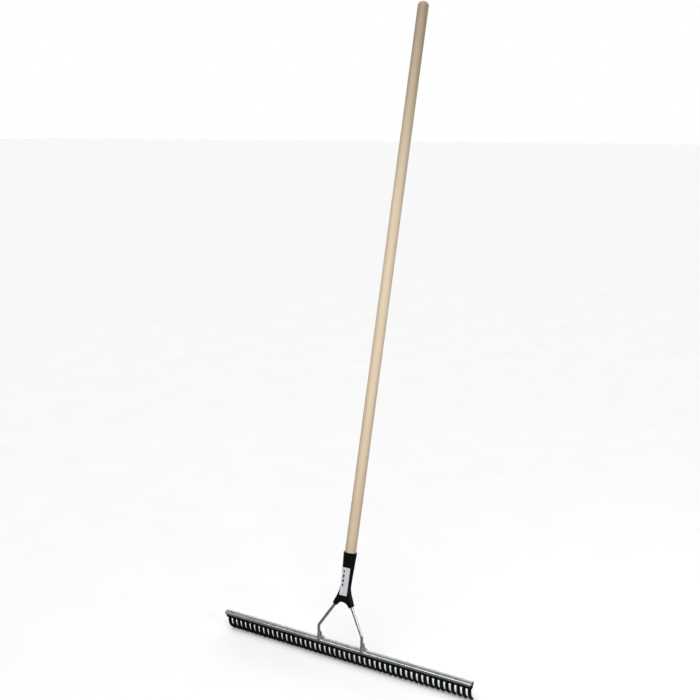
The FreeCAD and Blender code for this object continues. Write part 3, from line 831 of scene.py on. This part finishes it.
def join_root(bm, root, corners):
    """Faces between a tine's round-cornered root and the four corners of its place on the bar."""
    per_corner = len(root) // 4
    for index, corner in enumerate(corners):
        ring = root[index * per_corner:(index + 1) * per_corner]
        for first, second in zip(ring, ring[1:]):
            bm.faces.new([corner, first, second])
        following = root[(index + 1) * per_corner % len(root)]
        bm.faces.new([corner, ring[-1], following, corners[(index + 1) % 4]])


def order_corners(corners):
    """Corner vertices in the order of a rounded rectangle's corners."""
    xs = sorted({round(corner.co.x, 6) for corner in corners})
    ys = sorted({round(corner.co.y, 6) for corner in corners})
    wanted = ((xs[-1], ys[-1]), (xs[0], ys[-1]), (xs[0], ys[0]), (xs[-1], ys[0]))
    return [min(corners, key=lambda corner: abs(corner.co.x - x) + abs(corner.co.y - y))
            for x, y in wanted]


# ------------------------------------------------------------- saddles and rivets
def saddle_line():
    """Middle line of a saddle's sheet as (y, z), from the tongue's top to the strap's end."""
    middle = SADDLE_SHEET / 2
    strap = HOOD_RADIUS + middle
    upright_y = SADDLE_FRONT + middle
    top_z = HOOD_CENTRE_Z + HOOD_RADIUS + SADDLE_HEIGHT
    bend_y = upright_y + SADDLE_BEND_RADIUS
    bend_z = hood_top_z(bend_y) + middle + SADDLE_BEND_RADIUS
    shares = (0, 0.01, 0.03, 0.06, 0.1, 0.14, 0.25, 0.4, 0.55, 0.7, 0.8, 0.9)   # close at the top
    line = [(upright_y, top_z + (bend_z - top_z) * share) for share in shares]
    line += arc((bend_y, bend_z), SADDLE_BEND_RADIUS, 180, 270, 6)
    start = math.degrees(math.asin(bend_y / strap))
    steps = 14
    for step in range(1, steps + 1):
        turn = math.radians(start + (SADDLE_WRAP - start) * step / steps)
        line.append((strap * math.sin(turn), HOOD_CENTRE_Z + strap * math.cos(turn)))
    return line


def saddle_half_width(distance, length, tongue):
    """Half the width at a distance along the sheet: narrow tongue, wider strap, round corners."""
    taper = min(1.0, distance / tongue)
    flare = min(1.0, max(0.0, (distance - tongue) / SADDLE_FLARE))
    width = SADDLE_TOP_HALF + (SADDLE_WAIST_HALF - SADDLE_TOP_HALF) * taper
    width += (SADDLE_HALF - SADDLE_WAIST_HALF) * flare
    for corner, left in ((3.0 * MM, distance), (2.0 * MM, length - distance)):
        if left < corner:
            width -= corner - math.sqrt(corner ** 2 - (corner - left) ** 2)
    return width


def make_saddle(side, name):
    """Sheet bracket with its tongue behind the rod and its strap over the hood."""
    line = [Vector((0, y, z)) for y, z in saddle_line()]
    distances = [0.0]
    for before, after in zip(line, line[1:]):
        distances.append(distances[-1] + (after - before).length)
    tongue = SADDLE_HEIGHT - SADDLE_SHOULDER
    bm = bmesh.new()
    rows = []
    columns = 8
    for index, point in enumerate(line):
        before, after = line[max(index - 1, 0)], line[min(index + 1, len(line) - 1)]
        along = (after - before).normalized()
        outward = Vector((1, 0, 0)).cross(along) * (SADDLE_SHEET / 2)
        half = saddle_half_width(distances[index], distances[-1], tongue)
        across = [Vector((half * (2 * column / columns - 1), 0, 0)) for column in range(columns + 1)]
        rows.append([bm.verts.new(point + outward + shift) for shift in across]
                    + [bm.verts.new(point - outward + shift) for shift in across[::-1]])
    for lower, upper in zip(rows, rows[1:]):
        bridge(bm, lower, upper)
    for row in (rows[0], rows[-1]):
        for step in range(columns):
            bm.faces.new([row[step], row[step + 1], row[-2 - step], row[-1 - step]])
    saddle = new_object("saddle", mesh_of("saddle", bm, 50))
    bevel(saddle, 0.35 * MM, 2, 50)
    add_piece("saddle_" + name + "_plate", mesh_alone(saddle), SADDLE_ZINC,
              ["saddle_" + name], Matrix.Translation((side * ROD_FOOT.x, 0, 0)))


def rivet_rings():
    """Domed blind rivet with its mandrel hole, seat at height 0, shank down -Z."""
    chamfer = 0.3 * MM
    rim = 0.15 * MM
    hole = 1.1 * MM
    profile = [(0, -RIVET_DEPTH), (RIVET_SHANK_RADIUS - chamfer, -RIVET_DEPTH),
               (RIVET_SHANK_RADIUS, chamfer - RIVET_DEPTH), (RIVET_SHANK_RADIUS, 0.0),
               (RIVET_HEAD_RADIUS - 0.1 * MM, 0.0), (RIVET_HEAD_RADIUS, rim)]
    steps = 8
    for step in range(1, steps + 1):
        share = step / steps
        radius = RIVET_HEAD_RADIUS + (hole - RIVET_HEAD_RADIUS) * share
        rise = (RIVET_HEAD_HEIGHT - rim) * math.sin(math.pi / 2 * min(1, share * 1.1))
        profile.append((radius, rim + rise))
    profile += [(0.95 * MM, 1.35 * MM), (0.9 * MM, 0.7 * MM), (0.55 * MM, 0.75 * MM),
                (0, 0.95 * MM)]
    return turned_rings(profile, 36)


def make_rivets(name, places, angle, seat, node):
    """Rivets through the hood at an angle behind its top, seated at a radius from its centre."""
    bm = bmesh.new()
    turn = Matrix.Rotation(-math.radians(angle), 4, "X")
    for x in places:
        place = Matrix.Translation((x, 0, HOOD_CENTRE_Z)) @ turn @ Matrix.Translation((0, 0, seat))
        add_loft(bm, [[place @ point for point in ring] for ring in rivet_rings()])
    add_piece(name, mesh_of(name, bm, 40), RIVET_METAL, [node])


def comb_rivet_places():
    """Places along X of the bars' lugs."""
    places = []
    for node in ("comb_bar_left", "comb_bar_right"):
        start, end = low(node).x, high(node).x
        places += [start + fraction * (end - start) for fraction in LUG_FRACTIONS]
    return places


# ------------------------------------------------------------- studio
def make_floor():
    """Plain floor under the tips of the tines: pale to the camera, darker in reflections."""
    shader = Shader("pale_floor")
    mottle = shader.noise(shader.place(), 6, 3)
    pale = shader.ramp(mottle, (0.3, (0.83, 0.83, 0.83)), (0.7, (0.85, 0.85, 0.85)))
    seen = shader.node("ShaderNodeLightPath").outputs["Is Camera Ray"]
    colour = shader.mix(seen, (0.16, 0.16, 0.16), pale)
    roughness = shader.ramp(mottle, (0.3, 0.85), (0.7, 0.95))
    material = shader.finish(colour, roughness, Specular_IOR_Level=0.1)
    bm = bmesh.new()
    bmesh.ops.create_grid(bm, x_segments=8, y_segments=8, size=60)
    mesh = mesh_of("floor", bm)
    mesh.materials.append(material)
    floor = new_object("floor", mesh, Matrix.Translation((0, 0, low("comb_tines_left").z)))


def make_world():
    """White to the camera; for light and reflections, a bright low backdrop behind the rake."""
    world = bpy.data.worlds.new("studio")
    bpy.context.scene.world = world
    world.use_nodes = True
    nodes, links = world.node_tree.nodes, world.node_tree.links
    coords = nodes.new("ShaderNodeTexCoord")
    lowness = nodes.new("ShaderNodeVectorMath")
    lowness.operation = "DOT_PRODUCT"
    lowness.inputs[1].default_value = (-0.1, 1.0, -0.6)
    links.new(coords.outputs["Generated"], lowness.inputs[0])
    backdrop = nodes.new("ShaderNodeValToRGB")
    links.new(lowness.outputs["Value"], backdrop.inputs["Fac"])
    set_stops(backdrop, ((0.0, 0.05), (0.14, (0.27, 0.28, 0.29)), (0.62, 1.0)))
    light = nodes["Background"]
    light.inputs["Strength"].default_value = 1.3
    links.new(backdrop.outputs["Color"], light.inputs["Color"])
    seen = nodes.new("ShaderNodeBackground")
    seen.inputs["Color"].default_value = (1, 1, 1, 1)
    path = nodes.new("ShaderNodeLightPath")
    mixer = nodes.new("ShaderNodeMixShader")
    links.new(path.outputs["Is Camera Ray"], mixer.inputs[0])
    links.new(light.outputs[0], mixer.inputs[1])
    links.new(seen.outputs[0], mixer.inputs[2])
    links.new(mixer.outputs[0], nodes["World Output"].inputs["Surface"])


def facing(place, direction):
    """Matrix that sets a light or a camera at a place, looking along a direction."""
    return Matrix.Translation(place) @ direction.to_track_quat("-Z", "Y").to_matrix().to_4x4()


def make_lights():
    """A wide sun above the front, and a small square panel at the right."""
    sun = bpy.data.lights.new("overhead", "SUN")
    sun.energy = 3.2
    sun.angle = math.radians(60)
    new_object("overhead", sun, Matrix.Rotation(math.radians(28), 4, "X"))
    panel = bpy.data.lights.new("key", "AREA")
    panel.size = 0.6
    panel.energy = 9
    place, target = Vector((1.45, -0.55, 0.85)), Vector((0, 0.2, 0.75))
    new_object("key", panel, facing(place, target - place))


def make_camera():
    """Three-quarter view from the front right, a little above the middle of the handle."""
    azimuth, elevation, distance = math.radians(26.27), math.radians(15.04), 1.90364
    aim = Vector((0.02493, 0, 0.82845))
    towards = Vector((math.sin(azimuth) * math.cos(elevation),
                      -math.cos(azimuth) * math.cos(elevation), math.sin(elevation)))
    data = bpy.data.cameras.new("camera")
    data.sensor_width = 36
    data.lens = 43.266
    bpy.context.scene.camera = new_object("camera", data, facing(aim + towards * distance, -towards))


make_camera()
make_world()
make_lights()
make_floor()
make_handle()
make_socket()
make_label()
make_screw()
for side, name in ((-1, "left"), (1, "right")):
    make_rod(side, name)
    make_saddle(side, name)
make_spine()
make_comb("left", LEFT_TINES)
make_comb("right", RIGHT_TINES)
make_rivets("comb_rivet_set", comb_rivet_places(), COMB_RIVET_ANGLE, HOOD_RADIUS, "comb_rivets")
saddle_places = [side * ROD_FOOT.x + shift
                 for side in (-1, 1) for shift in (-SADDLE_RIVET_X, SADDLE_RIVET_X)]
make_rivets("saddle_rivet_set", saddle_places, SADDLE_RIVET_ANGLE, HOOD_RADIUS + SADDLE_SHEET,
            "saddle_rivets")
bpy.context.scene.view_settings.view_transform = "Standard"
